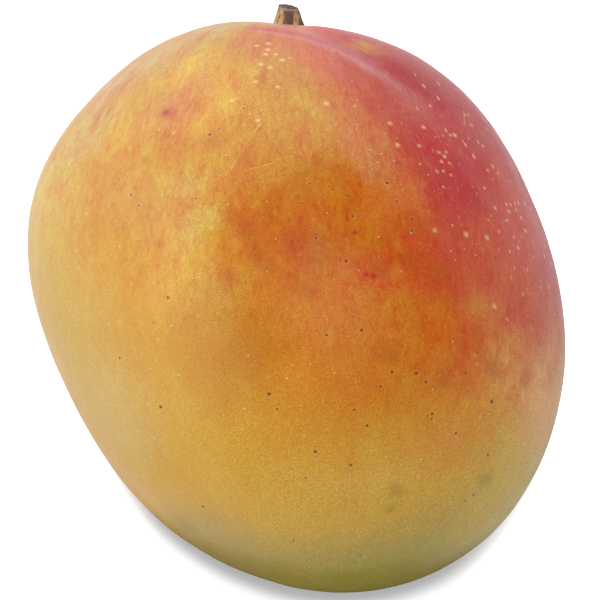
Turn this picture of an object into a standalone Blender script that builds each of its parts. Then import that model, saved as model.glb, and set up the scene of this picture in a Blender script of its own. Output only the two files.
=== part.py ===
"""A mango lying on one cheek, with the dried stub of its stem still on.

Metres, +Z up. +Y runs from the nose of the fruit to its stem end and +X from its back to its belly.
The origin is the middle of the small flat spot on which the fruit rests.
"""

from math import atan2, cos, exp, pi, sin

import bmesh
import bpy
from mathutils import Vector

# The fruit before its swells and hollows.
HALF_WIDTH = 0.0475
HALF_LENGTH = 0.0575
HALF_THICKNESS = 0.0440
TAPER = 0.017
REST_DEPTH = 0.0006
REST_AHEAD = 0.0009
SKIN_SUBDIVISIONS = 5

# Swells and hollows of the fruit: the direction of the middle, how far it spreads on a sphere of
# radius 1, and its height as a share of the fruit's own radius there.
SWELLS = (
    ("crown", Vector((0.05, 0.85, 0.50)), 0.30, 0.033),
    ("belly shoulder", Vector((0.85, 0.38, 0.35)), 0.33, 0.070),
    ("belly", Vector((0.90, -0.40, -0.10)), 0.32, 0.023),
    ("beak", Vector((0.35, -0.85, -0.40)), 0.35, 0.015),
    ("nose", Vector((-0.30, -0.80, -0.50)), 0.30, 0.015),
    ("lower back", Vector((-0.88, -0.30, -0.35)), 0.32, 0.014),
    ("flat of the back", Vector((-0.98, 0.05, -0.20)), 0.30, -0.022),
    ("back shoulder", Vector((-0.75, 0.65, 0.15)), 0.33, 0.057),
    ("stem basin", Vector((0.50, 0.90, 0.22)), 0.14, -0.030),
)

# The shallow furrow that leaves the stem basin and dies away down the belly shoulder.
FURROW_START = Vector((0.42, 0.76, 0.50))
FURROW_PULLS = (Vector((0.56, 0.38, 0.74)), Vector((0.72, -0.05, 0.70)))
FURROW_END = Vector((0.78, -0.40, 0.48))
FURROW_SPREAD = 0.055
FURROW_DEPTH = 0.015
FURROW_STEPS = 40

# The stub of the stem: a woody peg, ribbed along its length and broken off aslant.
STEM_ROOT = Vector((0.49, 0.905, 0.22))
STEM_AXIS = Vector((0.51, 0.83, 0.22))
STEM_SWAY = 0.0005
STEM_GAP = 0.0004
STEM_LENGTH = 0.0065
STEM_FOOT_RADIUS = 0.0038
STEM_TIP_RADIUS = 0.00185
STEM_RIBS = 7
STEM_RIB_SHARE = 0.05
STEM_BREAK_SLOPES = (0.07, -0.42)
STEM_SIDES = 28
STEM_CUTS = 5


def clear_scene():
    for old_object in list(bpy.data.objects):
        bpy.data.objects.remove(old_object, do_unlink=True)


def make_material(name, colour, roughness):
    material = bpy.data.materials.new(name)
    material.use_nodes = True
    shader = material.node_tree.nodes["Principled BSDF"]
    shader.inputs["Base Color"].default_value = (*colour, 1.0)
    shader.inputs["Roughness"].default_value = roughness
    shader.inputs["Metallic"].default_value = 0.0
    return material


def furrow_points():
    """Pairs of a direction on the furrow's line and how much of its depth is left there."""
    points = []
    for step in range(FURROW_STEPS + 1):
        along = step / FURROW_STEPS
        left = 1.0 - along
        middle = (
            FURROW_START * left**3
            + FURROW_PULLS[0] * 3.0 * left**2 * along
            + FURROW_PULLS[1] * 3.0 * left * along**2
            + FURROW_END * along**3
        )
        points.append((middle.normalized(), 1.0 - along**2))
    return points


def bell(distance, spread):
    return exp(-0.5 * (distance / spread) ** 2)


def fruit_point(direction, furrow):
    """The skin's place from the fruit's middle, in one direction from a sphere of radius 1."""
    swell = 1.0
    for _, middle, spread, height in SWELLS:
        swell += height * bell((direction - middle.normalized()).length, spread)
    near, left = min(furrow, key=lambda point: (direction - point[0]).length)
    swell -= FURROW_DEPTH * left * bell((direction - near).length, FURROW_SPREAD)
    narrow = 1.0 + TAPER * direction.y
    return swell * Vector(
        (
            HALF_WIDTH * narrow * direction.x,
            HALF_LENGTH * direction.y,
            HALF_THICKNESS * narrow * direction.z,
        )
    )


def fruit_middle():
    return Vector((0.0, -REST_AHEAD, HALF_THICKNESS - REST_DEPTH))


def add_object(mesh, name, material, collection):
    data = bpy.data.meshes.new(name)
    mesh.to_mesh(data)
    mesh.free()
    data.materials.append(material)
    piece = bpy.data.objects.new(name, data)
    collection.objects.link(piece)
    return piece


def make_fruit(collection, furrow):
    """An icosphere drawn out into the fruit, with its underside cut to the flat spot it rests on."""
    mesh = bmesh.new()
    bmesh.ops.create_icosphere(mesh, subdivisions=SKIN_SUBDIVISIONS, radius=1.0)
    for vertex in mesh.verts:
        vertex.co = fruit_middle() + fruit_point(vertex.co.normalized(), furrow)
    bmesh.ops.bisect_plane(
        mesh,
        geom=mesh.verts[:] + mesh.edges[:] + mesh.faces[:],
        plane_co=(0.0, 0.0, 0.0),
        plane_no=(0.0, 0.0, -1.0),
        clear_outer=True,
    )
    rim = [edge for edge in mesh.edges if edge.is_boundary]
    bmesh.ops.edgeloop_fill(mesh, edges=rim)
    bmesh.ops.recalc_face_normals(mesh, faces=mesh.faces)
    for face in mesh.faces:
        face.smooth = face.normal.z > -0.999
    skin = make_material("mango_skin", (0.72, 0.30, 0.045), 0.42)
    return add_object(mesh, "fruit", skin, collection)


def stem_point(upright):
    """A point of the stub from one on a cylinder of radius 1 that stands from 0 to 1."""
    turn = atan2(upright.y, upright.x)
    taper = STEM_FOOT_RADIUS + (STEM_TIP_RADIUS - STEM_FOOT_RADIUS) * upright.z
    radius = taper * (1.0 + STEM_RIB_SHARE * cos(STEM_RIBS * turn))
    x = radius * upright.xy.length * cos(turn)
    y = radius * upright.xy.length * sin(turn)
    aslant = STEM_BREAK_SLOPES[0] * x + STEM_BREAK_SLOPES[1] * y
    height = STEM_LENGTH * upright.z + aslant * upright.z**2
    return Vector((x + STEM_SWAY * upright.z**2, y, height))


def make_stem(collection, furrow):
    """A capped cylinder drawn into the stub, standing just clear of the floor of the basin."""
    mesh = bmesh.new()
    bmesh.ops.create_cone(
        mesh, cap_ends=True, segments=STEM_SIDES, radius1=1.0, radius2=1.0, depth=1.0
    )
    bmesh.ops.translate(mesh, verts=mesh.verts, vec=(0.0, 0.0, 0.5))
    uprights = [edge for edge in mesh.edges if abs(edge.verts[0].co.z - edge.verts[1].co.z) > 0.5]
    bmesh.ops.subdivide_edges(mesh, edges=uprights, cuts=STEM_CUTS, use_grid_fill=True)
    for vertex in mesh.verts:
        vertex.co = stem_point(vertex.co)
    bark = make_material("dry_stem", (0.20, 0.115, 0.055), 0.85)
    stem = add_object(mesh, "stem", bark, collection)
    axis = STEM_AXIS.normalized()
    foot = fruit_middle() + fruit_point(STEM_ROOT.normalized(), furrow)
    stem.location = foot + STEM_GAP * axis
    stem.rotation_euler = axis.to_track_quat("Z", "Y").to_euler()
    return stem


def main():
    clear_scene()
    collection = bpy.data.collections.new("mango")
    bpy.context.scene.collection.children.link(collection)
    furrow = furrow_points()
    make_fruit(collection, furrow)
    make_stem(collection, furrow)


if __name__ == "__main__":
    main()
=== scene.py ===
"""Dresses the mango: its ripe skin, the dry stub of its stem, and a plain studio to show it in."""

from math import cos, radians, sin

import bpy
import numpy as np
from bpy.props import FloatProperty, FloatVectorProperty, IntProperty, PointerProperty
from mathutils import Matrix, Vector


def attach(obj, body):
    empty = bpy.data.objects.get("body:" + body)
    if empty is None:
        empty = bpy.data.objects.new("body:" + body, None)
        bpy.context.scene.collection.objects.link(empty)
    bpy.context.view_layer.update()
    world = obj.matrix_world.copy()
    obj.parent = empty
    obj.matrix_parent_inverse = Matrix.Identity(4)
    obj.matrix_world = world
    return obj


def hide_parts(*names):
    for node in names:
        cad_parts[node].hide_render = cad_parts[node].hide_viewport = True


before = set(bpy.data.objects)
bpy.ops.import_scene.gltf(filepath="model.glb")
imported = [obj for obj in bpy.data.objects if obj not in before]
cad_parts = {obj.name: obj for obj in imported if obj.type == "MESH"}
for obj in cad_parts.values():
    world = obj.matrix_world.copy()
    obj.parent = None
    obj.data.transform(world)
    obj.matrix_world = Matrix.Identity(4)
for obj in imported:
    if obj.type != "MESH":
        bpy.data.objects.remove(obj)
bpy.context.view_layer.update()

bl_info = {
    "name": "Mango",
    "version": (1, 0, 0),
    "blender": (4, 5, 0),
    "location": "View3D > Sidebar > Mango",
    "description": "Makes the skin and stem of a ripe mango, and a studio to show it in",
    "category": "Add Mesh",
}

MM_PER_METRE = 1000.0

# A distance, in mark radii, that lies outside every ring round a mark.
FAR = 9.0

# The form of the fruit: the direction of the middle of each swell or hollow, how far it spreads on
# a sphere of radius 1, and its height as a share of the fruit's own radius.
SWELLS = (
    ("crown", (0.05, 0.85, 0.50), 0.30, 0.033),
    ("belly shoulder", (0.85, 0.38, 0.35), 0.33, 0.070),
    ("belly", (0.90, -0.40, -0.10), 0.32, 0.023),
    ("beak", (0.35, -0.85, -0.40), 0.35, 0.015),
    ("nose", (-0.30, -0.80, -0.50), 0.30, 0.015),
    ("lower back", (-0.88, -0.30, -0.35), 0.32, 0.014),
    ("flat of the back", (-0.98, 0.05, -0.20), 0.30, -0.022),
    ("back shoulder", (-0.75, 0.65, 0.15), 0.33, 0.057),
    ("stem basin", (0.50, 0.90, 0.22), 0.14, -0.030),
)

# The furrow down the belly shoulder: the ends and pulls of its curve, and the steps along it.
FURROW_START = np.array((0.42, 0.76, 0.50))
FURROW_PULLS = (np.array((0.56, 0.38, 0.74)), np.array((0.72, -0.05, 0.70)))
FURROW_END = np.array((0.78, -0.40, 0.48))
FURROW_STEPS = 40

# Where the stem stands and the way it points; the way its break faces, in its own frame; and the pole
# from which the skin's texture streams, with the radius in millimetres at which it is true to size.
STEM_ROOT = np.array((0.49, 0.905, 0.22))
STEM_AXIS = Vector((0.51, 0.83, 0.22))
BREAK_FACING = (-0.07, 0.50, 1.0)
STEM_POLE = (0.40, 0.90, 0.17)
GIRTH = 42.0

# Colours of the skin, in linear light.
HONEY = (0.47, 0.235, 0.018)
GOLD = (0.56, 0.265, 0.012)
OCHRE = (0.63, 0.355, 0.038)
SAND = (0.52, 0.330, 0.060)
TAN = (0.54, 0.225, 0.022)
ORANGE = (0.50, 0.185, 0.010)
AMBER = (0.51, 0.117, 0.001)
APRICOT = (0.64, 0.205, 0.012)
PEACH = (0.70, 0.29, 0.075)
BRONZE = (0.49, 0.180, 0.003)
RUSSET = (0.45, 0.100, 0.008)
SCARLET = (0.58, 0.058, 0.010)
CORAL = (0.55, 0.070, 0.030)
ROSE = (0.48, 0.125, 0.070)
RUBY = (0.51, 0.012, 0.010)
CRIMSON = (0.44, 0.014, 0.022)
OLIVE = (0.40, 0.310, 0.044)
MOSS = (0.36, 0.165, 0.012)
STRAW = (0.72, 0.45, 0.13)
# Painted shade in the hollow of the crease.
CREASE_SHADE_PLUM = (0.40, 0.030, 0.048)
LICHEN = (0.42, 0.30, 0.075)

# Broad, soft-edged patches of colour, each laid over the ones before it: the middle, from the
# fruit's own middle, and the reach along X, Y and Z, both in millimetres; colour, strength, softness.
PATCHES = (
    ("pale back", (-45, 6, 16), (12, 24, 16), SAND, 0.80, 0.60),
    ("rose brow", (-8, 47, 24), (18, 5.5, 8), (0.48, 0.290, 0.130), 0.60, 0.60),
    ("pale shoulder", (-37, 34, 17), (9, 14, 11), SAND, 0.85, 0.60),
    ("straw back", (-43, -10, 16), (7, 10, 9), (0.60, 0.390, 0.110), 0.60, 0.60),
    ("grey nose", (-36, -38, 1), (9, 13, 10), LICHEN, 0.70, 0.60),
    ("amber heart", (4, -14, 42), (21, 26, 22), AMBER, 0.95, 0.45),
    ("amber skirt", (-2, -30, 38), (26, 14, 18), APRICOT, 0.65, 0.60),
    ("amber belly", (21, -31, 29), (14, 11, 13), APRICOT, 0.80, 0.60),
    ("apricot flank", (10, -44, 26), (11, 8, 10), (0.66, 0.235, 0.020), 0.75, 0.60),
    ("straw flank", (16, -53, 6), (14, 9, 12), (0.62, 0.410, 0.060), 0.80, 0.60),
    ("green nose", (-12, -55.5, 0), (10, 5, 6), (0.35, 0.300, 0.018), 0.50, 0.60),
    ("tan shoulder", (-25, 20, 35), (10, 10, 8), (0.47, 0.190, 0.006), 0.60, 0.60),
    ("ochre crest", (-3, 38.5, 34), (6, 4, 5), OCHRE, 0.45, 0.60),
    ("orange crown", (2, 24, 40), (14, 12, 14), ORANGE, 0.60, 0.60),
    ("sand temple", (-24, 39, 25), (8, 6, 7), (0.47, 0.300, 0.100), 0.60, 0.60),
    ("gold brow", (3, 32.5, 37.5), (4, 3.5, 4), (0.58, 0.310, 0.020), 0.50, 0.60),
    ("gold crest", (-4.5, 28, 39.5), (8, 8, 7), (0.62, 0.350, 0.035), 0.60, 0.60),
    ("tan saddle", (9, 14, 42), (9, 8, 9), TAN, 0.70, 0.50),
    ("apricot fold", (-15, 10, 41), (8, 4, 6), (0.52, 0.180, 0.015), 0.55, 0.60),
    ("sand dapple", (-16.5, 14, 40.5), (3.5, 3.5, 4), SAND, 0.45, 0.60),
    ("sand streak", (-18, 5, 40), (6, 3, 5), SAND, 0.50, 0.60),
    ("gold window", (-26, -3, 36), (7, 9, 8), (0.63, 0.340, 0.045), 0.60, 0.60),
    ("sand band", (-19, -9, 39), (5, 4, 6), SAND, 0.30, 0.60),
    ("russet shade", (-5, -3, 43), (8, 7, 8), RUSSET, 0.25, 0.50),
    ("russet arc", (-5, 0.5, 43.5), (6, 2.2, 5), RUSSET, 0.50, 0.60),
    ("russet bend", (-11, -2, 42.5), (2, 4.5, 4), RUSSET, 0.55, 0.60),
    ("russet tail", (-3, -8.5, 43), (2.5, 5, 4), RUSSET, 0.55, 0.60),
    ("russet blot", (-16.3, -8.3, 40.5), (1.8, 1.4, 2), RUSSET, 0.50, 0.70),
    ("bronze fold", (-20, -19, 37), (6.5, 5, 6), (0.48, 0.130, 0.001), 0.60, 0.60),
    ("bronze hollow", (-24, -17, 35), (9, 10, 10), BRONZE, 0.60, 0.60),
    ("rose shoulder", (-11, 31, 36), (7, 5, 6), ROSE, 0.45, 0.70),
    ("amber brow", (1, 0, 44), (6, 4, 5), (0.58, 0.190, 0.004), 0.50, 0.60),
    ("gold temple", (-18.5, 30, 34.5), (6, 6, 6), (0.53, 0.285, 0.025), 0.60, 0.60),
    ("gold arc", (-3, 7, 43.5), (7, 3, 4), (0.54, 0.240, 0.018), 0.60, 0.60),
    ("moss smudge", (3, 3, 43.5), (6, 4, 6), MOSS, 0.25, 0.60),
    ("scarlet blot", (5.5, -17.5, 41.5), (4, 4, 4), SCARLET, 0.45, 0.70),
    ("scarlet flush", (18, -19, 37), (10, 7, 10), SCARLET, 0.85, 0.50),
    ("scarlet drift", (14, -37, 31), (9, 4.5, 7), SCARLET, 0.35, 0.60),
    ("scarlet tail", (19, -34, 31), (5, 3, 5), (0.58, 0.070, 0.001), 0.45, 0.60),
    ("scarlet fleck", (14, -30.5, 35), (6, 3, 5), (0.61, 0.060, 0.001), 0.50, 0.60),
    ("scarlet rim", (35, -26, 21), (12, 12, 14), SCARLET, 0.80, 0.50),
    ("peach belly", (27, -41, 16), (10, 8, 12), PEACH, 0.80, 0.60),
    ("peach rim", (30, -44, 10), (9, 10, 11), (0.76, 0.375, 0.120), 0.65, 0.60),
)

# The same over the red of the belly shoulder.
BLUSH_PATCHES = (
    ("coral crown", (13, 39, 32), (7, 6, 6), CORAL, 0.50, 0.60),
    ("peach gap", (17, 5, 41), (4, 9, 5), (0.58, 0.225, 0.065), 0.60, 0.60),
    ("amber gap", (16, -7, 41), (6, 5, 5), (0.62, 0.155, 0.020), 0.50, 0.60),
    ("rose ridge", (27, 19, 34), (9, 14, 9), ROSE, 0.45, 0.60),
    ("scarlet side", (31, -20, 30), (11, 9, 9), (0.58, 0.075, 0.018), 0.75, 0.60),
    ("ruby shoulder", (34, 0, 32), (7, 9, 8), RUBY, 0.75, 0.60),
    ("coral rim", (40, -14, 23), (7, 12, 10), (0.62, 0.100, 0.055), 0.65, 0.60),
    ("peach flush", (31, -29, 25), (8, 7, 9), (0.61, 0.130, 0.030), 0.65, 0.60),
    ("ruby side", (25, -10, 37), (4.5, 4.5, 4.5), RUBY, 0.55, 0.60),
    ("coral drift", (36, -34, 15), (8, 8, 9), (0.60, 0.170, 0.060), 0.50, 0.70),
    ("wine ridge", (35, 25, 27), (9, 10, 8), (0.34, 0.010, 0.010), 0.60, 0.60),
    ("rose lip", (37.5, 5, 28.5), (4, 6, 5), (0.48, 0.110, 0.100), 0.40, 0.60),
    ("orange window", (30, 31.5, 28), (3.5, 3, 3), ORANGE, 0.75, 0.60),
)

# The crease down the belly shoulder, along which a painted sheen and painted shade are laid, at places
# from the fruit's middle in millimetres; the direction across it to the belly; and how wide its lip is
# where it starts and where it dies away.
CREASE = ((12, 43, 30), (18, 37, 31), (23, 31, 32), (27, 24, 33), (32, 15, 32), (36, 9, 30), (39, 1, 28))
CREASE_ASIDE = np.array((0.87, 0.48, 0.0))
CREASE_STEPS = 120
CREASE_WIDTHS = (0.9, 3.0)

# Marks on the skin, each straight out from a place in millimetres from the fruit's middle, with its
# radius: dark old pores, pale dots, bruises, olive smudges, golden gleams, russet blotches, red dots.
SPECKS = (
    (-8, 21, 41, 0.40), (-6, 21, 41, 0.25), (0, 23, 41, 0.30), (-25, 19, 35, 0.35), (-25, 16, 36, 0.30),
    (-16, 10, 41, 0.22), (8, -3, 43, 0.28), (7, -7, 43, 0.35), (-1, -6, 44, 0.25), (-1, -8, 43, 0.30),
    (0, -1, 44, 0.22), (2, -14, 42, 0.38), (-1, -16, 42, 0.25), (3, 2, 44, 0.28), (6, 0, 44, 0.25),
    (16, -7, 41, 0.28), (17, -11, 40, 0.26), (16, -13, 40, 0.32), (16, -3, 41, 0.38),
    (25, -7, 37, 0.35), (-7, -24, 39, 0.32), (-1, -26, 39, 0.38), (-20, -27, 33, 0.42),
    (-20, -30, 32, 0.28), (6, -37, 32, 0.35), (5, -42, 29, 0.38), (4, -42, 29, 0.25),
    (17, -43, 24, 0.50), (-7, -40, 31, 0.36), (-12, -43, 26, 0.32), (1, -34, 35, 0.34),
    (-2, -35, 34, 0.28), (5, -36, 34, 0.40), (-8, -37, 33, 0.28), (8, -46, 25, 0.32),
    (13, -50, 18, 0.30), (8, -54, 13, 0.34), (6, -54, 13, 0.26), (-17, -39, 28, 0.40),
    (-37, -17, 24, 0.45), (-20, -41, 24, 0.25), (-39, -5, 24, 0.34), (-37, -33, 11, 0.38),
    (-25, -46, 11, 0.28), (-32, -5, 32, 0.24), (-15, -53, 8, 0.26),
)
PALE_DOTS = (
    (10, 38, 34, 0.40), (12, 37, 33, 0.45), (11, 35, 34, 0.50), (10, 34, 35, 0.45), (12, 34, 36, 0.35),
    (8, 32, 37, 0.45), (12, 31, 36, 0.45), (9, 30, 37, 0.40), (5, 28, 39, 0.40), (8, 25, 40, 0.40),
    (-1, 26, 40, 0.35), (14, 17, 40, 0.55), (1, 19, 42, 0.40), (23, 9, 38, 0.45), (29, 7, 35, 0.40),
    (22, 4, 39, 0.45), (26, 3, 37, 0.35), (35, 5, 31, 0.45), (29, 1, 35, 0.32), (30, 0, 35, 0.36),
    (31, 1, 34.5, 0.28), (29, -1, 36, 0.34), (30.5, -1.5, 35, 0.30), (28, -3, 36, 0.28),
    (29, -4, 35, 0.30), (38, -3, 28, 0.28), (39.5, -2, 26.5, 0.34), (40, -3.5, 26, 0.30),
    (35, -11, 29, 0.36), (38, -10, 26, 0.30), (38, -11.5, 26, 0.40), (39, -10, 25, 0.32),
    (40, -11, 24, 0.30), (40.5, -12.5, 23, 0.36), (20, -14, 38, 0.40), (26, -16, 35, 0.50),
    (30, -17, 32, 0.45), (25, -29, 30, 0.45),
)
BRUISES = ((-12, 31, 36, 0.75),)
SMUDGES = (
    (-6, -50, 21, 1.7), (11, -53, 14, 2.0), (-8, -51, 18, 1.2), (-8, -57, 2, 3.0), (-40, -31, 2, 2.5),
)
GLEAMS = (
    (12, -15, 41, 1.2), (9.5, -19.5, 40.5, 1.3), (-14, -2, 42, 1.5), (-15, -6, 41.5, 1.6),
    (-2, 28, 39, 2.0), (-9, 24, 40, 2.0), (22, -28, 33, 1.5), (1, -16, 42, 1.5),
)
BLOTCHES = (
    (17, -12, 40, 1.8), (7, -18, 41, 1.8), (26, -40, 20, 2.2), (20, -39, 27, 2.0), (-11, -8, 42, 1.8),
    (-7, -16, 42, 2.0), (9, -38, 31, 2.2), (13, -18, 40, 2.2), (17, -22, 38, 2.4), (-8, 19, 41, 2.4),
    (-5, 12, 43, 2.2), (2, -31, 36, 2.2),
)
RED_DOTS = (
    (6, -10, 43, 0.50), (4.2, -17.6, 41.4, 0.55), (5.3, -18.4, 41, 0.60), (-28, -3, 35, 0.35),
)

# Scratches, from one end to the other, and their width.
SCRATCHES = (
    ((1, 18, 42), (-8, 12, 43), 0.35),
    ((-6, 10, 43), (-1, 9, 44), 0.20),
    ((40, 11, 26), (38, 7, 28), 0.20),
)

# The way the red faces, and its strength.
BELLY_SHOULDER = (0.90, 0.05, 0.20)
BLUSH_STRENGTH = 0.90

# Freckles of the skin: their size in millimetres, and their strength at the back and on the cheek; the
# tints that multiply the skin's colour in them, and in the dark and the pale of its grain.
FRECKLES = ((9.0, 0.10, 0.55), (4.0, 0.15, 0.70), (1.8, 0.12, 0.60), (0.9, 0.10, 0.42), (0.5, 0.12, 0.35))
REDDER = (0.95, 0.60, 0.50)
YELLOWER = (1.03, 1.25, 1.20)
DARK_GRAIN = (0.64, 0.43, 0.18)
PALE_GRAIN = (1.30, 1.80, 4.50)

# Pores and flecks scattered over the skin, the dashes and flecks partly pale pores and wax and partly
# painted
# glints: how far apart, their radius, and the share that shows.
PALE_PORES = {"Spacing": 2.6, "Radius": 0.45, "Share": 0.35}
PALE_DASHES_AND_GLINTS = {"Spacing": 1.3, "Radius": 0.26, "Share": 0.80}
WAX_FLECKS_AND_GLINTS = {"Spacing": 1.5, "Radius": 0.20, "Share": 0.45}
OLD_PORES = {"Spacing": 4.2, "Radius": 0.55, "Share": 0.40}

# The lights: place, width and height, radiance, and whether they show in the gloss.
LIGHTS = (
    ("left box", (-0.58, 0.22, 0.32), (0.95, 0.84), 1.5, True),
    ("back box", (0.0, 0.66, 0.36), (1.3, 0.8), 1.75, True),
    ("right card", (0.64, -0.02, 0.18), (1.2, 0.34), 0.7, True),
    ("front card", (-0.05, -0.90, 0.24), (1.8, 0.2), 1.3, True),
    ("overhead", (0.05, -0.12, 1.2), (0.8, 0.8), 3.75, False),
)


# ---- Forms ----


def unit(vectors):
    """Each vector divided by its length."""
    vectors = np.asarray(vectors, dtype=float)
    return vectors / np.linalg.norm(vectors, axis=-1, keepdims=True)


def bell(distance, spread):
    """1 at no distance, falling off as exp(-distance^2 / (2 spread^2))."""
    return np.exp(-0.5 * (distance / spread) ** 2)


def furrow_line():
    """Directions along a cubic Bezier curve down the belly shoulder, and 1 - t^2 with t from 0 to 1
    along it, which is what is left of the furrow's depth."""
    along = np.linspace(0.0, 1.0, FURROW_STEPS + 1)[:, None]
    left = 1.0 - along
    line = (
        left**3 * FURROW_START
        + 3.0 * left**2 * along * FURROW_PULLS[0]
        + 3.0 * left * along**2 * FURROW_PULLS[1]
        + along**3 * FURROW_END
    )
    return unit(line), (1.0 - along**2)[:, 0]


def fruit_points(directions, form):
    """Places on the skin from the fruit's middle, one for each direction on a sphere of radius 1.

    The direction is drawn out to half the fruit's width, length and thickness, with the width and
    thickness growing towards the stem, and multiplied by 1, plus the height of each swell times its
    bell, less the furrow's depth times a bell of the distance from the furrow's line."""
    swell = np.ones(directions.shape[:-1])
    for _, middle, spread, height in SWELLS:
        swell += height * bell(np.linalg.norm(directions - unit(middle), axis=-1), spread)
    nearest = np.full(swell.shape, np.inf)
    depth = np.zeros(swell.shape)
    for point, left in zip(*furrow_line()):
        away = np.linalg.norm(directions - point, axis=-1)
        depth = np.where(away < nearest, left, depth)
        nearest = np.minimum(away, nearest)
    swell -= form.furrow_depth * depth * bell(nearest, form.furrow_spread)
    narrow = 1.0 + form.taper * directions[..., 1]
    across = form.half_width * narrow * directions[..., 0]
    ahead = form.half_length * directions[..., 1]
    above = form.half_thickness * narrow * directions[..., 2]
    return np.stack((across, ahead, above), axis=-1) * swell[..., None]


def fruit_middle(form):
    """The point that the fruit is drawn out from, above the spot on which it rests."""
    return np.array((0.0, -form.rest_ahead, form.half_thickness - form.rest_depth))


def ripples(directions, form):
    """The skin's low unevenness, in metres: a sum of plane waves sin(turns n . heading + phase), with
    seeded headings and phases and with lengths from half to twice the given one, longer ones higher."""
    draw = np.random.default_rng(form.seed)
    total = np.zeros(directions.shape[:-1])
    for _ in range(form.ripple_waves):
        heading = unit(draw.normal(size=3))
        stretch = 2.0 ** draw.uniform(-1.0, 1.0)
        turns = 2.0 * np.pi * form.half_width / (form.ripple_length * stretch)
        phase = draw.uniform(0.0, 2.0 * np.pi)
        total += stretch * np.sin(turns * (directions @ heading) + phase)
    return form.ripple_height * total / np.sqrt(form.ripple_waves)


def crease_places(points):
    """Where points in millimetres lie on the crease: the distance from it in widths of its lip,
    negative at the crown and positive at the belly, how much of the crease is left there, and 0.

    The crease is a polyline through its places, cut into equal steps, and each point goes with the
    nearest of them; what is left falls from 1 to 0 along it."""
    corners = np.array(CREASE, dtype=float)
    along = np.linspace(0.0, 1.0, CREASE_STEPS)
    steps = along * (len(corners) - 1)
    knots = np.arange(len(corners))
    line = np.stack([np.interp(steps, knots, corners[:, axis]) for axis in range(3)], axis=-1)
    widths = CREASE_WIDTHS[0] + (CREASE_WIDTHS[1] - CREASE_WIDTHS[0]) * along
    places = np.zeros((len(points), 3))
    nearest = np.full(len(points), np.inf)
    for place, passed, width in zip(line, along, widths):
        away = points - place
        distance = np.linalg.norm(away, axis=-1)
        closer = distance < nearest
        places[:, 0] = np.where(closer, np.sign(away @ CREASE_ASIDE) * distance / width, places[:, 0])
        places[:, 1] = np.where(closer, 1.0 - passed, places[:, 1])
        nearest = np.minimum(distance, nearest)
    return places


def polar_directions(rings, columns, pole):
    """Directions on a sphere: the pole, rings at equal steps of angle from it, each of columns at
    equal steps round it, and the opposite pole."""
    axis = unit(pole)
    side = unit(np.cross(axis, (0.0, 0.0, 1.0)))
    other = np.cross(axis, side)
    slope = np.pi * np.arange(1, rings + 1)[:, None] / (rings + 1)
    turn = 2.0 * np.pi * np.arange(columns)[None, :] / columns
    body = (
        (np.sin(slope) * np.cos(turn))[..., None] * side
        + (np.sin(slope) * np.sin(turn))[..., None] * other
        + (np.cos(slope) * np.ones_like(turn))[..., None] * axis
    )
    return np.concatenate((axis[None], body.reshape(-1, 3), -axis[None]))


def ring_faces(rings, columns):
    """Faces of a closed form made of a pole, rings and a pole: a fan at each pole and quads between
    one ring and the next, all wound so that they face outwards."""
    row = np.arange(columns)
    after = (row + 1) % columns
    last = 1 + (rings - 1) * columns
    far = 1 + rings * columns
    first_fan = np.stack((np.zeros_like(row), 1 + row, 1 + after), axis=1)
    last_fan = np.stack((np.full_like(row, far), last + after, last + row), axis=1)
    upper = 1 + columns * np.arange(rings - 1)[:, None]
    lower = upper + columns
    quads = np.stack((upper + row, lower + row, lower + after, upper + after), axis=-1)
    return first_fan.tolist() + quads.reshape(-1, 4).tolist() + last_fan.tolist()


def stem_points(stem):
    """Places on the stub, in a frame whose Z runs along it from its foot and whose Y faces the nose.

    A profile of radius and height runs from the middle of the break to its rim, down the side and in
    under the foot. The side's radius falls evenly from foot to tip, times 1 plus a seeded sum of cosines
    of the turn, of which that of the ribs is the strongest, plus knots that are a product of two sines.
    The break slopes along X and Y, bulges in its middle and is chipped at its rim by waves of the turn.
    """
    turn = 2.0 * np.pi * np.arange(stem.columns)[None, :] / stem.columns
    cap, side = stem.cap_rings, stem.side_rings
    out = np.concatenate((np.linspace(0.12, 1.0, cap), np.ones(side), (0.5,)))[:, None]
    rise = np.concatenate((np.ones(cap), np.linspace(1.0, 0.0, side + 1)[1:], (0.0,)))[:, None]
    draw = np.random.default_rng(stem.seed)
    ribs = np.zeros_like(turn)
    chips = np.zeros_like(turn)
    for waves in range(2, 13):
        weight = 1.0 if waves == stem.ribs else 0.30
        ribs = ribs + weight * np.cos(waves * turn + draw.uniform(0.0, 2.0 * np.pi))
        chips = chips + np.cos(waves * turn + draw.uniform(0.0, 2.0 * np.pi)) / waves
    radius = stem.foot_radius + (stem.tip_radius - stem.foot_radius) * rise
    knots = stem.knot_height * np.sin(9.0 * rise + 2.0 * turn) * np.sin(5.0 * rise + turn)
    radius = out * (radius * (1.0 + stem.rib_share * ribs) + knots)
    x = radius * np.cos(turn)
    y = radius * np.sin(turn)
    height = stem.root_depth * (rise - 1.0) + stem.height * rise
    chipped = stem.chip_height * chips * out**2 + stem.crown_height * (1.0 - out**2)
    aslant = stem.break_slope_x * x + stem.break_slope_y * y
    z = height + aslant * rise**2 + chipped * rise**6
    body = np.stack((x + stem.sway * rise**2, y, z), axis=-1)
    top = body[0].mean(axis=0)
    foot = body[-1].mean(axis=0)
    return np.concatenate((top[None], body.reshape(-1, 3), foot[None])), len(body)


def add_object(name, data):
    """A new object of this data in the scene."""
    added = bpy.data.objects.new(name, data)
    bpy.context.scene.collection.objects.link(added)
    return added


def add_piece(name, points, faces, material, node):
    """A smooth mesh object of these points and faces, riding on the root in place of a CAD node."""
    mesh = bpy.data.meshes.new(name)
    mesh.from_pydata(points.tolist(), [], faces)
    mesh.materials.append(material)
    mesh.polygons.foreach_set("use_smooth", np.ones(len(mesh.polygons), dtype=bool))
    mesh.update()
    piece = add_object(name, mesh)
    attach(piece, "root")
    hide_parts(node)
    return piece


# ---- Shader nodes ----


def rgba(colour):
    return (*colour, 1.0)


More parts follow.
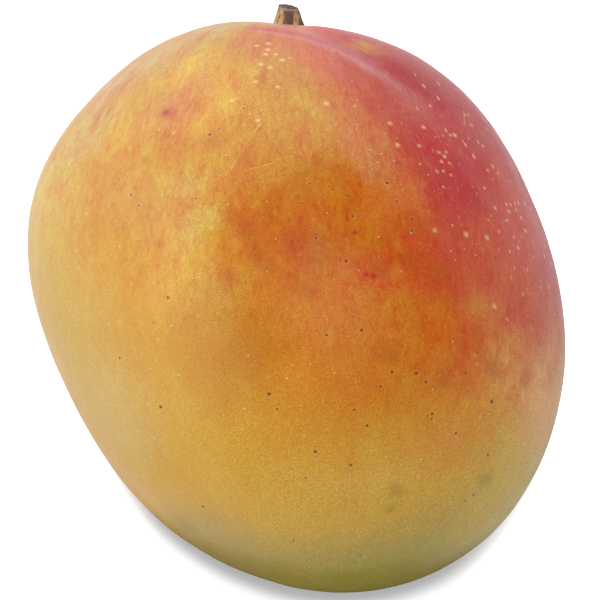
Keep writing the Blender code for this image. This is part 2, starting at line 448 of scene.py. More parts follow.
def feed(tree, socket, value):
    """Links a socket to another one, or sets it to a value."""
    if isinstance(value, bpy.types.NodeSocket):
        tree.links.new(value, socket)
    else:
        socket.default_value = value


def bare_material(name):
    """A material of one Principled shader; returns it with its tree and the shader."""
    material = bpy.data.materials.new(name)
    material.use_nodes = True
    tree = material.node_tree
    return material, tree, tree.nodes["Principled BSDF"]


def place_in_mm(tree, middle):
    """Object coordinates, as millimetres from a middle given in metres."""
    coordinates = tree.nodes.new("ShaderNodeTexCoord")
    mapping = tree.nodes.new("ShaderNodeMapping")
    mapping.inputs["Scale"].default_value = (MM_PER_METRE,) * 3
    mapping.inputs["Location"].default_value = [-MM_PER_METRE * value for value in middle]
    tree.links.new(coordinates.outputs["Object"], mapping.inputs["Vector"])
    return mapping.outputs["Vector"]


def calculate(tree, operation, first, second):
    node = tree.nodes.new("ShaderNodeMath")
    node.operation = operation
    feed(tree, node.inputs[0], first)
    feed(tree, node.inputs[1], second)
    return node.outputs["Value"]


def times(tree, first, second):
    return calculate(tree, "MULTIPLY", first, second)


def combine(tree, operation, first, second=(0.0, 0.0, 0.0), output="Vector"):
    node = tree.nodes.new("ShaderNodeVectorMath")
    node.operation = operation
    feed(tree, node.inputs[0], first)
    feed(tree, node.inputs[1], second)
    return node.outputs[output]


def scaled(tree, vector, factor):
    """The vector times a factor."""
    node = tree.nodes.new("ShaderNodeVectorMath")
    node.operation = "SCALE"
    feed(tree, node.inputs[0], vector)
    feed(tree, node.inputs["Scale"], factor)
    return node.outputs["Vector"]


def read_attribute(tree, name):
    node = tree.nodes.new("ShaderNodeAttribute")
    node.attribute_name = name
    return node.outputs["Vector"]


def add_bump(tree, shader, height, strength, distance):
    """Raises the shader's surface by a height from 0 to 1 times a distance in metres."""
    bump = tree.nodes.new("ShaderNodeBump")
    bump.inputs["Strength"].default_value = strength
    bump.inputs["Distance"].default_value = distance
    tree.links.new(height, bump.inputs["Height"])
    tree.links.new(bump.outputs["Normal"], shader.inputs["Normal"])


def ease(tree, value, low, high, bottom=0.0, top=1.0):
    """The value carried smoothly from bottom at low to top at high."""
    node = tree.nodes.new("ShaderNodeMapRange")
    node.interpolation_type = "SMOOTHSTEP"
    feed(tree, node.inputs["Value"], value)
    feed(tree, node.inputs["From Min"], low)
    feed(tree, node.inputs["From Max"], high)
    feed(tree, node.inputs["To Min"], bottom)
    feed(tree, node.inputs["To Max"], top)
    return node.outputs["Result"]


def lay(tree, mask, under, over, blend_type="MIX"):
    """The colour over laid on the colour under as far as the mask says."""
    node = tree.nodes.new("ShaderNodeMix")
    node.data_type = "RGBA"
    node.blend_type = blend_type
    feed(tree, node.inputs["Factor"], mask)
    for socket, colour in ((node.inputs[6], under), (node.inputs[7], over)):
        feed(tree, socket, colour if isinstance(colour, bpy.types.NodeSocket) else rgba(colour))
    return node.outputs[2]


def coat(tree, colour, mask, strength, over, blend_type="MIX"):
    """The colour with another laid over it, as far as a mask times a strength says."""
    return lay(tree, times(tree, mask, strength), colour, over, blend_type)


def cloud(tree, place, size, detail, roughness=0.5):
    """Soft noise whose lumps are about this many millimetres apart."""
    node = tree.nodes.new("ShaderNodeTexNoise")
    node.inputs["Scale"].default_value = 1.0 / size
    node.inputs["Detail"].default_value = detail
    node.inputs["Roughness"].default_value = roughness
    tree.links.new(place, node.inputs["Vector"])
    return node.outputs["Fac"]


def new_group(name, vectors, values, **results):
    """An empty shader group that takes these vectors and values and puts out results of these kinds;
    returns it with its two ends."""
    group = bpy.data.node_groups.new(name, "ShaderNodeTree")
    given = {**dict.fromkeys(vectors, "Vector"), **dict.fromkeys(values, "Float")}
    for in_out, sockets in (("INPUT", given), ("OUTPUT", results)):
        for socket_name, kind in sockets.items():
            group.interface.new_socket(socket_name, in_out=in_out, socket_type="NodeSocket" + kind)
    return group, group.nodes.new("NodeGroupInput").outputs, group.nodes.new("NodeGroupOutput").inputs


def place_group(tree, name, **values):
    """A group, built when first wanted, placed in a tree with its inputs linked or set; returns its
    outputs."""
    node = tree.nodes.new("ShaderNodeGroup")
    node.node_tree = bpy.data.node_groups.get(name) or GROUPS[name](name)
    for socket_name, value in values.items():
        feed(tree, node.inputs[socket_name], value)
    return node.outputs


def wander(tree, place, size, reach):
    """The place moved about by soft noise."""
    return place_group(tree, "wander", Place=place, Size=size, Reach=reach)["Place"]


def stream(tree, place, draw):
    """The place laid out along the meridians of the stem's pole; the less drawn, the longer the marks."""
    return place_group(tree, "stream", Place=place, Axis=STEM_POLE, Girth=GIRTH, Draw=draw)["Place"]


def patch_mask(tree, place, middle, reach, softness, strength):
    """The strength inside an ellipsoid round a middle, fading to 0 across its soft edge."""
    return place_group(
        tree,
        "soft patch",
        Place=place,
        Middle=middle,
        Reach=reach,
        Softness=softness,
        Strength=strength,
    )["Mask"]


def slope_mask(tree, place, toward, start, full):
    """A mask that rises from 0 at start to 1 at full along a direction."""
    return place_group(tree, "slope", Place=place, Toward=toward, Start=start, Full=full)["Mask"]


def wander_group(name):
    """Group that moves a place about with noise of one size, so that edges drawn from it turn ragged."""
    group, given, result = new_group(name, ("Place",), ("Size", "Reach"), Place="Vector")
    noise = group.nodes.new("ShaderNodeTexNoise")
    noise.inputs["Detail"].default_value = 2.0
    noise.inputs["Roughness"].default_value = 0.6
    group.links.new(given["Place"], noise.inputs["Vector"])
    group.links.new(calculate(group, "DIVIDE", 1.0, given["Size"]), noise.inputs["Scale"])
    centred = combine(group, "SUBTRACT", noise.outputs["Color"], (0.5, 0.5, 0.5))
    move = scaled(group, centred, given["Reach"])
    group.links.new(combine(group, "ADD", given["Place"], move), result["Place"])
    return group


def patch_group(name):
    """Group whose mask is the strength inside an ellipsoid round a middle, fading across a soft edge."""
    group, given, result = new_group(
        name, ("Place", "Middle", "Reach"), ("Softness", "Strength"), Mask="Float"
    )
    away = combine(group, "SUBTRACT", given["Place"], given["Middle"])
    reached = combine(group, "DIVIDE", away, given["Reach"])
    distance = combine(group, "LENGTH", reached, output="Value")
    outer = calculate(group, "ADD", 1.0, given["Softness"])
    inner = calculate(group, "SUBTRACT", 1.0, given["Softness"])
    mask = ease(group, distance, outer, inner)
    group.links.new(times(group, mask, given["Strength"]), result["Mask"])
    return group


def stream_group(name):
    """Group that lays a place out along the meridians of an axis, so that noise read there streams from
    pole to pole: the direction out from the axis times the girth, plus the axis times the height on it
    and the draw."""
    group, given, result = new_group(name, ("Place", "Axis"), ("Girth", "Draw"), Place="Vector")
    height = combine(group, "DOT_PRODUCT", given["Place"], given["Axis"], "Value")
    out = combine(group, "SUBTRACT", given["Place"], scaled(group, given["Axis"], height))
    heading = group.nodes.new("ShaderNodeVectorMath")
    heading.operation = "NORMALIZE"
    group.links.new(out, heading.inputs[0])
    round_axis = scaled(group, heading.outputs["Vector"], given["Girth"])
    along_axis = scaled(group, given["Axis"], times(group, height, given["Draw"]))
    group.links.new(combine(group, "ADD", round_axis, along_axis), result["Place"])
    return group


def slope_group(name):
    """Group whose mask rises smoothly from 0 to 1 between two distances along a direction."""
    group, given, result = new_group(name, ("Place", "Toward"), ("Start", "Full"), Mask="Float")
    along = combine(group, "DOT_PRODUCT", given["Place"], given["Toward"], "Value")
    group.links.new(ease(group, along, given["Start"], given["Full"]), result["Mask"])
    return group


def pore_group(name):
    """Group of round pores scattered through space, of which a share is kept, each of its own size:
    masks of the core and of the ring round it."""
    group, given, result = new_group(
        name, ("Place",), ("Spacing", "Radius", "Share"), Core="Float", Ring="Float"
    )
    cells = group.nodes.new("ShaderNodeTexVoronoi")
    group.links.new(given["Place"], cells.inputs["Vector"])
    group.links.new(calculate(group, "DIVIDE", 1.0, given["Spacing"]), cells.inputs["Scale"])
    distance = times(group, cells.outputs["Distance"], given["Spacing"])
    chance = group.nodes.new("ShaderNodeSeparateColor")
    group.links.new(cells.outputs["Color"], chance.inputs["Color"])
    growth = ease(group, chance.outputs["Green"], 0.0, 1.0, 0.45, 1.25)
    near = calculate(group, "DIVIDE", distance, times(group, given["Radius"], growth))
    kept = calculate(group, "LESS_THAN", chance.outputs["Red"], given["Share"])
    core = ease(group, near, 0.55, 0.20)
    dome = ease(group, near, 1.0, 0.5)
    ring = calculate(group, "SUBTRACT", dome, core)
    group.links.new(times(group, core, kept), result["Core"])
    group.links.new(times(group, ring, kept), result["Ring"])
    return group


def nearest_group(name):
    """Group that keeps the lesser of a given distance and that from a round mark, in mark radii."""
    group, given, result = new_group(name, ("Place", "Middle"), ("Radius", "Nearest"), Nearest="Float")
    away = combine(group, "DISTANCE", given["Place"], given["Middle"], "Value")
    radii = calculate(group, "DIVIDE", away, given["Radius"])
    group.links.new(calculate(group, "MINIMUM", radii, given["Nearest"]), result["Nearest"])
    return group


def scratch_group(name):
    """Group whose mask is 1 along a straight scratch from one end to the other, fading at its sides."""
    group, given, result = new_group(name, ("Place", "Start", "End"), ("Width",), Mask="Float")
    run = combine(group, "SUBTRACT", given["End"], given["Start"])
    away = combine(group, "SUBTRACT", given["Place"], given["Start"])
    ahead = combine(group, "DOT_PRODUCT", away, run, "Value")
    whole = combine(group, "DOT_PRODUCT", run, run, "Value")
    along = calculate(group, "DIVIDE", ahead, whole)
    along = calculate(group, "MAXIMUM", calculate(group, "MINIMUM", along, 1.0), 0.0)
    aside = combine(group, "DISTANCE", away, scaled(group, run, along), "Value")
    group.links.new(ease(group, aside, given["Width"], 0.0), result["Mask"])
    return group


GROUPS = {
    "wander": wander_group,
    "soft patch": patch_group,
    "slope": slope_group,
    "stream": stream_group,
    "pores": pore_group,
    "nearest mark": nearest_group,
    "scratch": scratch_group,
}


# ---- Materials ----


def on_skin(place, form):
    """The place on the skin, in millimetres from the fruit's middle, straight out through this one."""
    halves = MM_PER_METRE * np.array((form.half_width, form.half_length, form.half_thickness))
    return MM_PER_METRE * fruit_points(unit(np.array(place) / halves), form)


def lay_marks(tree, place, colour, marks, form, rings):
    """Lays round marks on a colour; rings are the colour, the inner and the outer radius of each ring,
    in mark radii, and its strength."""
    nearest = FAR
    for *middle, radius in marks:
        nearest = place_group(
            tree,
            "nearest mark",
            Place=place,
            Middle=on_skin(middle, form),
            Radius=radius,
            Nearest=nearest,
        )["Nearest"]
    for over, inner, outer, strength in rings:
        colour = lay(tree, ease(tree, nearest, outer, inner, 0.0, strength), colour, over)
    return colour


def lay_patches(tree, place, colour, patches):
    """Lays soft patches on a colour, one over the other."""
    for _, middle, reach, over, strength, softness in patches:
        colour = lay(tree, patch_mask(tree, place, middle, reach, softness, strength), colour, over)
    return colour


def skin_colour(tree, place):
    """Ripe skin before its texture: gold at the back, amber over the upper cheek, olive at the nose and
    crimson towards the belly shoulder, all with ragged edges; returns it with the mask of the red."""
    broad = wander(tree, place, 14.0, 6.0)
    middling = wander(tree, broad, 5.0, 6.0)
    ragged = wander(tree, middling, 1.4, 3.0)
    stem_end = slope_mask(tree, broad, (0.0, 1.0, 0.0), -2.0, 42.0)
    nose_end = slope_mask(tree, broad, (0.0, -1.0, 0.0), 0.0, 36.0)
    under_nose = slope_mask(tree, middling, (-0.10, -0.70, -0.70), 22.0, 38.0)
    colour = lay(tree, stem_end, GOLD, HONEY)
    colour = lay(tree, nose_end, colour, OCHRE)
    colour = lay(tree, under_nose, colour, OLIVE)
    colour = lay_patches(tree, ragged, colour, PATCHES)

    waning = slope_mask(tree, ragged, (0.0, 1.0, 0.0), -44.0, -14.0)
    flush = times(tree, slope_mask(tree, ragged, BELLY_SHOULDER, 18.0, 28.0), waning)
    blush = times(tree, slope_mask(tree, ragged, BELLY_SHOULDER, 25.0, 34.0), waning)
    colour = coat(tree, colour, flush, BLUSH_STRENGTH, CORAL)
    colour = coat(tree, colour, blush, BLUSH_STRENGTH, CRIMSON)
    return lay_patches(tree, ragged, colour, BLUSH_PATCHES), flush


def crease_painted_light(tree, colour, finish):
    """The crease down the shoulder: a painted sheen on its lip and painted plum shade in the hollow on
    the belly's side.
    """
    split = tree.nodes.new("ShaderNodeSeparateXYZ")
    tree.links.new(read_attribute(tree, "crease"), split.inputs["Vector"])
    aside = split.outputs["X"]
    left = split.outputs["Y"]
    # Painted shade: plum in the hollow on the belly's side of the crease.
    hollow = times(tree, ease(tree, aside, 0.0, 1.0), ease(tree, aside, 5.0, 1.5))
    hollow = times(tree, hollow, ease(tree, left, 0.0, 0.35))
    colour = coat(tree, colour, hollow, 0.45, CREASE_SHADE_PLUM)
    # Painted sheen: a pale band along the lip of the crease.
    lip = times(tree, ease(tree, aside, -1.5, -0.1), ease(tree, aside, 1.0, -0.1))
    lip = times(tree, lip, ease(tree, left, 0.10, 0.65))
    return coat(tree, colour, lip, 0.40, finish.painted_sheen)


def skin_texture(tree, place, colour):
    """Freckles of redder and yellower skin in five sizes, strongest over the cheek and faintest at the
    back and the nose, and a fine grain, strongest at the belly; returns the colour and the grain."""

    def mottle(colour, redder, redder_tint, yellower, yellower_tint, strength):
        colour = coat(tree, colour, redder, strength, redder_tint, "MULTIPLY")
        return coat(tree, colour, yellower, strength, yellower_tint, "MULTIPLY")

    busy = slope_mask(tree, place, (0.66, 0.53, 0.53), -16.0, 16.0)
    streaming = stream(tree, place, 0.45)
    for size, least, most in FRECKLES:
        freckle = cloud(tree, streaming, size, 3.0, 0.65)
        redder = ease(tree, freckle, 0.48, 0.74)
        yellower = ease(tree, freckle, 0.52, 0.26)
        strength = ease(tree, busy, 0.0, 1.0, least, most)
        colour = mottle(colour, redder, REDDER, yellower, YELLOWER, strength)
    grain = cloud(tree, place, 0.28, 2.0, 0.9)
    front = slope_mask(tree, place, (0.80, -0.45, 0.40), -20.0, 15.0)
    darker = ease(tree, grain, 0.50, 0.75)
    lighter = ease(tree, grain, 0.50, 0.25)
    strength = ease(tree, front, 0.0, 1.0, 0.45, 0.78)
    return mottle(colour, darker, DARK_GRAIN, lighter, PALE_GRAIN, strength), grain


def skin_pores(tree, place, colour, flush, finish):
    """Pale streaks over the red, pale pores, dashes at the belly's edge and flecks that are partly pale
    pores and wax and partly painted glints, and old, dark pores; returns the colour and the rings of the
    pale pores."""

    def pores(around, kind):
        pore = place_group(tree, "pores", Place=around, **kind)
        return pore["Core"], pore["Ring"]

    streak = ease(tree, cloud(tree, stream(tree, place, 0.22), 0.6, 2.0, 0.6), 0.55, 0.75)
    colour = coat(tree, colour, times(tree, streak, flush), 0.15, STRAW)
    shaken = wander(tree, place, 0.5, 0.45)
    _, rings = pores(shaken, PALE_PORES)
    dotted = times(tree, rings, ease(tree, flush, 0.0, 0.6, 0.15, 0.65))
    colour = lay(tree, dotted, colour, finish.pale_pore)
    # Pale dashes at the belly's edge: partly pale pores and wax, partly painted glints and sheen.
    core, ring = pores(stream(tree, shaken, 0.45), PALE_DASHES_AND_GLINTS)
    rim = slope_mask(tree, place, (0.97, 0.0, 0.25), 33.0, 42.0)
    dashed = times(tree, calculate(tree, "ADD", ring, core), rim)
    colour = coat(tree, colour, dashed, 0.6, finish.wax)
    # Pale flecks all over: partly wax, partly painted glints.
    core, ring = pores(place, WAX_FLECKS_AND_GLINTS)
    colour = coat(tree, colour, calculate(tree, "ADD", ring, core), 0.45, finish.wax)
    core, _ = pores(shaken, OLD_PORES)
    return coat(tree, colour, core, 0.55, finish.speck), rings


def skin_marks(tree, place, colour, form, finish):
    """The marks at set places, each kind in rings of colour with ragged edges, and the scratches."""
    torn = wander(tree, place, 2.0, 2.4)
    shaken = wander(tree, place, 0.5, 0.45)
    kinds = (
        (torn, SMUDGES, ((finish.smudge, 0.2, 1.6, 0.50),)),
        (torn, BLOTCHES, ((RUSSET, 0.2, 1.5, 0.45),)),
        (torn, GLEAMS, ((finish.gleam, 0.2, 1.8, 0.28),)),
        (shaken, SPECKS, ((finish.pale_pore, 1.0, 2.2, 0.15), (finish.speck, 0.4, 1.2, 0.95))),
        (shaken, PALE_DOTS, ((finish.pale_pore, 0.4, 2.0, 0.50), (finish.pale_heart, 0.1, 1.0, 0.40))),
        (shaken, BRUISES, ((finish.bruise, 0.0, 4.0, 0.60), (finish.bruise_heart, 0.2, 1.5, 0.90))),
        (shaken, RED_DOTS, ((finish.red_dot, 0.3, 1.5, 0.85),)),
    )
    for around, marks, rings in kinds:
        colour = lay_marks(tree, around, colour, marks, form, rings)
    for start, end, width in SCRATCHES:
        start = on_skin(start, form)
        end = on_skin(end, form)
        mask = place_group(tree, "scratch", Place=shaken, Start=start, End=end, Width=width)["Mask"]
        colour = coat(tree, colour, mask, 0.6, STRAW)
    return colour


def skin_material(form, finish):
    """Ripe, waxy skin: clouds of colour, a crease with painted sheen and shade, freckles, pores and
    flecks with painted glints, and marks, with a fine peel.
    """
    material, tree, shader = bare_material("mango_skin")
    place = place_in_mm(tree, fruit_middle(form))
    colour, flush = skin_colour(tree, place)
    colour = crease_painted_light(tree, colour, finish)
    colour, grain = skin_texture(tree, place, colour)
    colour, pale_rings = skin_pores(tree, place, colour, flush, finish)
    colour = skin_marks(tree, place, colour, form, finish)
    tree.links.new(colour, shader.inputs["Base Color"])

    sheen = cloud(tree, place, 5.0, 3.0, 0.6)
    rough = ease(tree, sheen, 0.25, 0.75, finish.roughness - 0.03, finish.roughness + 0.05)
    tree.links.new(rough, shader.inputs["Roughness"])
    shader.inputs["IOR"].default_value = finish.ior
    height = calculate(tree, "ADD", cloud(tree, place, 1.4, 2.0, 0.5), times(tree, grain, 0.25))
    height = calculate(tree, "ADD", height, times(tree, pale_rings, 0.4))
    add_bump(tree, shader, height, 0.5, finish.peel_height)
    return material


def bark_material(finish):
    """Dry wood: tan facets with dark and grey streaks along the stub, and a dark, grey-edged break."""
    material, tree, shader = bare_material("dry_stem")
    place = read_attribute(tree, "stub")
    drawn_out = tree.nodes.new("ShaderNodeMapping")
    drawn_out.inputs["Scale"].default_value = (1.0, 1.0, 0.22)
    tree.links.new(place, drawn_out.inputs["Vector"])
    lengthwise = drawn_out.outputs["Vector"]
    around = wander(tree, lengthwise, 0.8, 0.9)
    uneven = wander(tree, place, 0.9, 0.5)
    aside = (-1.0, 0.0, 0.0)

    mottled = ease(tree, cloud(tree, lengthwise, 0.7, 2.0), 0.35, 0.55)
    colour = lay(tree, mottled, finish.bark, finish.pale_bark)
    middle = slope_mask(tree, around, aside, -1.4, -0.8)
    beyond = slope_mask(tree, around, aside, 0.7, 1.1)
    core = calculate(tree, "SUBTRACT", middle, beyond)
    edge = slope_mask(tree, around, aside, 1.8, 2.2)
    colour = coat(tree, colour, core, 0.9, finish.red_bark)
    colour = coat(tree, colour, edge, 0.85, finish.red_bark)
    streaks = ease(tree, cloud(tree, lengthwise, 0.45, 2.0, 0.6), 0.54, 0.68, 0.0, 0.75)
    colour = lay(tree, streaks, colour, finish.dark_bark)
    upper = slope_mask(tree, around, (0.0, 0.0, 1.0), 2.8, 4.6)
    grey = times(tree, ease(tree, cloud(tree, lengthwise, 0.30, 1.0, 0.5), 0.50, 0.66), upper)
    colour = coat(tree, colour, grey, 0.65, finish.grey_bark)
    rim = slope_mask(tree, uneven, BREAK_FACING, 5.55, 5.85)
    colour = coat(tree, colour, rim, 0.85, finish.grey_bark)
    cap = slope_mask(tree, uneven, BREAK_FACING, 6.0, 6.2)
    colour = lay(tree, cap, colour, finish.cap_bark)
    charred = ease(tree, cloud(tree, place, 0.6, 2.0, 0.6), 0.48, 0.64, 0.0, 0.8)
    colour = coat(tree, colour, charred, cap, finish.dark_bark)
    tree.links.new(colour, shader.inputs["Base Color"])
    shader.inputs["Roughness"].default_value = 0.85
    add_bump(tree, shader, cloud(tree, lengthwise, 0.4, 3.0, 0.6), 0.8, 0.00015)
    return material


def floor_material(stage):
    """Plain pale board. A soft-edged dark patch under the fruit is a painted shadow that throws little
    light up at it;
    camera sees the board evenly white past a narrow painted shade round the fruit."""
    material, tree, shader = bare_material("pale_floor")
    path = tree.nodes.new("ShaderNodeLightPath")
    coordinates = tree.nodes.new("ShaderNodeTexCoord")

    def shade(middle, reach, softness):
        place = coordinates.outputs["Object"]
        return patch_mask(tree, place, (*middle, 0.0), (*reach, 1.0), softness, 1.0)

    # Painted shadow: a dark patch in the floor's colour under the fruit, standing in for its shade.
    under = shade(stage.painted_shadow_middle, stage.painted_shadow_reach, 0.30)
    colour = lay(tree, under, stage.floor_colour, stage.painted_shadow_colour)
    tree.links.new(colour, shader.inputs["Base Color"])
    # Painted shade: inside this ellipse the glow that only the camera sees drops to the shade light, a
    # grey shade round the fruit.
    near = shade(stage.painted_shade_middle, stage.painted_shade_reach, 0.06)
    white = ease(tree, near, 1.0, 0.0, stage.painted_shade_light, 1.0)
    seen = times(tree, white, path.outputs["Is Camera Ray"])
    shader.inputs["Emission Color"].default_value = rgba((1.0, 1.0, 1.0))
    tree.links.new(seen, shader.inputs["Emission Strength"])
    shader.inputs["Roughness"].default_value = 0.9
    shader.inputs["Specular IOR Level"].default_value = 0.2
    return material


# ---- Settings ----


def size(name, description, default):
    return FloatProperty(name=name, description=description, default=default, precision=5, unit="LENGTH")


def share(name, description, default):
    return FloatProperty(name=name, description=description, default=default, subtype="FACTOR")


def count(name, description, default):
    return IntProperty(name=name, description=description, default=default, min=1)


def tint(name, description, default):
    return FloatVectorProperty(
        name=name, description=description, default=default, subtype="COLOR", min=0.0, max=1.0
    )


def spot(name, description, default):
    return FloatVectorProperty(
        name=name, description=description, default=default, size=2, precision=4, unit="LENGTH"
    )


def turned(name, description, default):
    return FloatProperty(name=name, description=description, default=radians(default), subtype="ANGLE")


class MangoFruit(bpy.types.PropertyGroup):
    """Sizes of the fruit, and how finely its skin is drawn."""

    half_width: size("Half width", "From the middle to the belly, before the swells", 0.0475)
    half_length: size("Half length", "From the middle to the nose, before the swells", 0.0575)
    half_thickness: size("Half thickness", "From the middle to the upper cheek", 0.0440)
    taper: share("Taper", "How much fuller the fruit is at its stem end", 0.017)
    rest_depth: size("Rest depth", "How much of the lower cheek is pressed flat", 0.0006)
    rest_ahead: size("Rest ahead", "How far the flat spot lies ahead of the middle", 0.0009)
    furrow_depth: share("Furrow depth", "Share of the radius that the furrow takes away", 0.015)
    furrow_spread: share("Furrow spread", "Spread of the furrow on a sphere of radius 1", 0.055)
    ripple_height: size("Ripple height", "Height of the skin's low unevenness", 0.00004)
    ripple_length: size("Ripple length", "From one low ripple to the next", 0.010)
    ripple_waves: count("Ripple waves", "Plane waves that make up the ripples", 24)
    seed: count("Seed", "Seed of the ripples", 7)
    rings: count("Rings", "Rings of the skin between its poles", 290)
    columns: count("Columns", "Points round each ring of the skin", 340)


class MangoFinish(bpy.types.PropertyGroup):
    """Colours and gloss of the skin and the stem."""

    roughness: share("Roughness", "Roughness of the waxy skin", 0.30)
    ior: FloatProperty(name="IOR", description="Index of refraction of the wax", default=1.44)
    peel_height: size("Peel height", "Depth of the finest dimples", 0.00008)
    # Painted sheen on the lip of the crease.
    painted_sheen: tint("Bloom", "Pale bloom on the lip of the crease", (0.58, 0.22, 0.23))
    # Also the colour of the painted glints in the dashes and flecks.
    wax: tint("Wax", "Worn wax and flecks", (0.86, 0.66, 0.44))
    pale_pore: tint("Pale pore", "Corky pores and dots", (0.74, 0.46, 0.17))
    pale_heart: tint("Pale heart", "Hearts of the pale dots", (0.88, 0.64, 0.34))
    speck: tint("Speck", "Dark middle of an old pore", (0.13, 0.055, 0.010))
    bruise: tint("Bruise", "Small bruises and healed bites", (0.38, 0.020, 0.012))
    bruise_heart: tint("Bruise heart", "Hearts of the bruises", (0.36, 0.020, 0.045))
    smudge: tint("Smudge", "Olive smudges over the nose", (0.36, 0.225, 0.020))
    gleam: tint("Gleam", "Golden gleams over the cheek", (0.62, 0.30, 0.030))
    red_dot: tint("Red dot", "Small red dots and nicks", (0.45, 0.020, 0.010))
    bark: tint("Bark", "Dry stem", (0.20, 0.125, 0.060))
    pale_bark: tint("Pale bark", "Its tan facets", (0.42, 0.27, 0.11))
    red_bark: tint("Red bark", "Its middle", (0.10, 0.045, 0.032))
    cap_bark: tint("Cap bark", "Its break", (0.14, 0.062, 0.055))
    dark_bark: tint("Dark bark", "Its dark streaks and break", (0.045, 0.024, 0.018))
    grey_bark: tint("Grey bark", "Weathered lines along it", (0.26, 0.235, 0.21))


class MangoStem(bpy.types.PropertyGroup):
    """Sizes of the stub of the stem."""

    gap: size("Gap", "Height of its frame above the floor of the basin", 0.0004)
    root_depth: size("Root depth", "How far it reaches below that into the basin", 0.0009)
    height: size("Height", "From its foot to the break", 0.0063)
    foot_radius: size("Foot radius", "Radius where it leaves the fruit", 0.0040)
    tip_radius: size("Tip radius", "Radius at the break", 0.00185)
    sway: size("Sway", "How far the tip leans aside", 0.0005)
    break_slope_x: share("Break slope across", "Slope of the break towards X", 0.07)
    break_slope_y: share("Break slope ahead", "Slope of the break towards Y", -0.50)
    chip_height: size("Chip height", "Unevenness of the rim of the break", 0.00008)
    crown_height: size("Crown height", "How far the middle of the break bulges", 0.0003)
    knot_height: size("Knot height", "Lumps along the side", 0.00010)
    rib_share: share("Rib share", "Height of a rib as a share of the radius", 0.05)
    ribs: count("Ribs", "Ribs along the stub", 7)
    cap_rings: count("Cap rings", "Rings across the break", 10)
    side_rings: count("Side rings", "Rings down the side", 40)
    columns: count("Columns", "Points round each ring of the stub", 144)
    seed: count("Seed", "Seed of the chips and ribs", 3)


class MangoStage(bpy.types.PropertyGroup):
    """The studio: floor, room and camera."""

    floor_colour: tint("Floor colour", "Colour of the floor", (0.80, 0.80, 0.80))
    # Painted shadow on the floor under the fruit: its colour, middle and half sizes.
    painted_shadow_colour: tint("Dark colour", "Colour of the patch under the fruit", (0.06, 0.06, 0.06))
    painted_shadow_middle: spot("Dark middle", "Middle of the patch under the fruit", (-0.020, -0.043))
    painted_shadow_reach: spot("Dark reach", "Half sizes of the patch under the fruit", (0.038, 0.046))
    # Painted shade round the fruit, seen only by the camera: its middle, half sizes and brightness.
    painted_shade_middle: spot("Shade middle", "Middle of the shade that the camera sees", (0.0058, 0.0066))
    painted_shade_reach: spot("Shade reach", "Half sizes of that shade", (0.0472, 0.0557))
    painted_shade_light: share("Shade light", "Brightness of that shade", 0.40)
    half_floor: size("Half floor", "Half the side of the floor", 3.0)
    room_light: share("Room light", "Strength of the dim room round the lights", 0.12)
    azimuth: turned("Azimuth", "Camera's turn from looking along +Y", -27.0)
    elevation: turned("Elevation", "Camera's height above the horizon", 64.0)
    distance: size("Distance", "From the camera to its aim", 0.65)
    aim_above: size("Aim above", "How far above the fruit's middle the camera aims", 0.00107)
    lens: FloatProperty(
        name="Lens", description="Focal length on a 36 mm sensor", default=203.6, unit="CAMERA"
    )


# ---- Operators ----


class MANGO_OT_fruit(bpy.types.Operator):
    """Make the fruit: a sphere drawn out into its form, gently rippled, and flat where it rests"""

    bl_idname = "mango.fruit"
    bl_label = "Fruit"

    def execute(self, context):
        form = context.scene.mango_fruit
        directions = polar_directions(form.rings, form.columns, STEM_ROOT)
        lift = 1.0 + ripples(directions, form) / form.half_width
        skin = fruit_points(directions, form)
        points = fruit_middle(form) + skin * lift[:, None]
        points[:, 2] = np.maximum(points[:, 2], 0.0)
        faces = ring_faces(form.rings, form.columns)
        material = skin_material(form, context.scene.mango_finish)
        piece = add_piece("mango_fruit", points, faces, material, "fruit")
        crease = piece.data.attributes.new("crease", "FLOAT_VECTOR", "POINT")
        crease.data.foreach_set("vector", crease_places(MM_PER_METRE * skin).ravel())
        return {"FINISHED"}


class MANGO_OT_stem(bpy.types.Operator):
    """Make the stub of the stem: a ribbed, leaning peg with an aslant, bulging break"""

    bl_idname = "mango.stem"
    bl_label = "Stem"

    def execute(self, context):
        form = context.scene.mango_fruit
        stem = context.scene.mango_stem
        local, rings = stem_points(stem)
        axis = STEM_AXIS.normalized()
        turned_to_axis = np.array(axis.to_track_quat("Z", "Y").to_matrix())
        root = fruit_middle(form) + fruit_points(unit(STEM_ROOT), form)
        points = local @ turned_to_axis.T + root + stem.gap * np.array(axis)
        faces = ring_faces(rings, stem.columns)
        material = bark_material(context.scene.mango_finish)
        piece = add_piece("mango_stem", points, faces, material, "stem")
        stub = piece.data.attributes.new("stub", "FLOAT_VECTOR", "POINT")
        stub.data.foreach_set("vector", MM_PER_METRE * local.ravel())
        return {"FINISHED"}


def add_light(name, place, size, radiance, glossy, aim):
    """A soft box of this radiance turned towards the aim, which the camera itself doesn't see."""
    light = bpy.data.lights.new(name, "AREA")
    light.shape = "RECTANGLE"
    light.size, light.size_y = size
    light.energy = radiance * np.pi * size[0] * size[1]
    box = add_object(name, light)
    box.location = place
    box.rotation_euler = (Vector(place) - aim).to_track_quat("Z", "Y").to_euler()
    box.visible_camera = False
    box.visible_glossy = glossy


def add_floor(stage):
    """A square floor at the height on which the fruit rests."""
    half = stage.half_floor
    corners = [(-half, -half, 0.0), (half, -half, 0.0), (half, half, 0.0), (-half, half, 0.0)]
    mesh = bpy.data.meshes.new("floor")
    mesh.from_pydata(corners, [], [(0, 1, 2, 3)])
    mesh.materials.append(floor_material(stage))
    floor = add_object("floor", mesh)


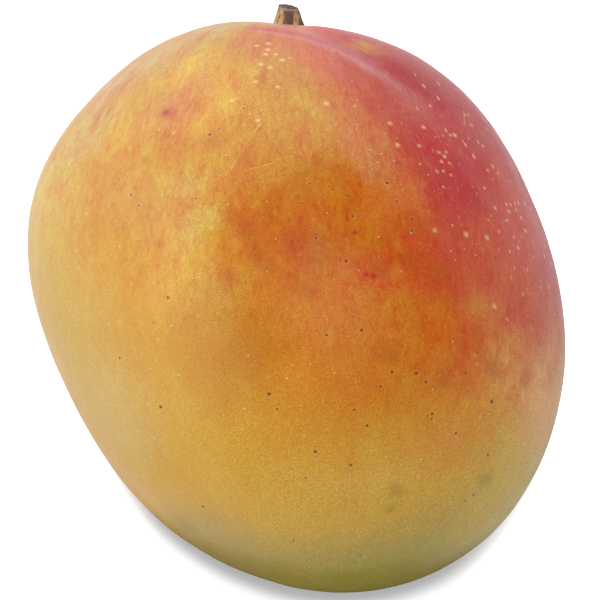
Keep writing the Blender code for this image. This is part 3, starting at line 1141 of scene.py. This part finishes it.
def add_room(stage):
    """A room that is dim for the fruit and white for the camera."""
    world = bpy.data.worlds.new("room")
    world.use_nodes = True
    tree = world.node_tree
    dim = tree.nodes["Background"]
    bright = tree.nodes.new("ShaderNodeBackground")
    for background, strength in ((dim, stage.room_light), (bright, 1.0)):
        background.inputs["Color"].default_value = rgba((1.0, 1.0, 1.0))
        background.inputs["Strength"].default_value = strength
    path = tree.nodes.new("ShaderNodeLightPath")
    choose = tree.nodes.new("ShaderNodeMixShader")
    tree.links.new(path.outputs["Is Camera Ray"], choose.inputs["Fac"])
    tree.links.new(dim.outputs["Background"], choose.inputs[1])
    tree.links.new(bright.outputs["Background"], choose.inputs[2])
    tree.links.new(choose.outputs["Shader"], tree.nodes["World Output"].inputs["Surface"])
    bpy.context.scene.world = world


def add_camera(stage, middle):
    """A camera turned about the fruit by the azimuth and the elevation."""
    level = cos(stage.elevation)
    back = Vector((sin(stage.azimuth) * level, -cos(stage.azimuth) * level, sin(stage.elevation)))
    right = Vector((cos(stage.azimuth), sin(stage.azimuth), 0.0))
    lens = bpy.data.cameras.new("camera")
    lens.sensor_width = 36.0
    lens.lens = stage.lens
    camera = add_object("camera", lens)
    camera.location = middle + stage.aim_above * back.cross(right) + stage.distance * back
    camera.rotation_euler = back.to_track_quat("Z", "Y").to_euler()
    bpy.context.scene.camera = camera


class MANGO_OT_stage(bpy.types.Operator):
    """Make the studio: a pale floor, soft boxes round the fruit, a dim room and the camera"""

    bl_idname = "mango.stage"
    bl_label = "Studio"

    def execute(self, context):
        stage = context.scene.mango_stage
        middle = Vector(fruit_middle(context.scene.mango_fruit))
        add_floor(stage)
        add_room(stage)
        add_camera(stage, middle)
        for name, place, size, radiance, glossy in LIGHTS:
            add_light(name, place, size, radiance, glossy, middle)
        context.scene.view_settings.view_transform = "Standard"
        return {"FINISHED"}


class MANGO_PT_sidebar(bpy.types.Panel):
    """The pieces of the mango, in the order in which they are made"""

    bl_idname = "MANGO_PT_sidebar"
    bl_label = "Mango"
    bl_space_type = "VIEW_3D"
    bl_region_type = "UI"
    bl_category = "Mango"

    def draw(self, context):
        for operator in OPERATORS:
            self.layout.operator(operator.bl_idname)
        for name in SETTINGS:
            settings = getattr(context.scene, name)
            box = self.layout.box()
            for field in settings.__annotations__:
                box.prop(settings, field)


OPERATORS = (MANGO_OT_fruit, MANGO_OT_stem, MANGO_OT_stage)
SETTINGS = {
    "mango_fruit": MangoFruit,
    "mango_finish": MangoFinish,
    "mango_stem": MangoStem,
    "mango_stage": MangoStage,
}


def register():
    for name, settings in SETTINGS.items():
        bpy.utils.register_class(settings)
        setattr(bpy.types.Scene, name, PointerProperty(type=settings))
    for operator in OPERATORS:
        bpy.utils.register_class(operator)
    bpy.utils.register_class(MANGO_PT_sidebar)


def unregister():
    bpy.utils.unregister_class(MANGO_PT_sidebar)
    for operator in reversed(OPERATORS):
        bpy.utils.unregister_class(operator)
    for name, settings in SETTINGS.items():
        delattr(bpy.types.Scene, name)
        bpy.utils.unregister_class(settings)


def main():
    register()
    bpy.ops.mango.fruit()
    bpy.ops.mango.stem()
    bpy.ops.mango.stage()


if __name__ == "__main__":
    main()
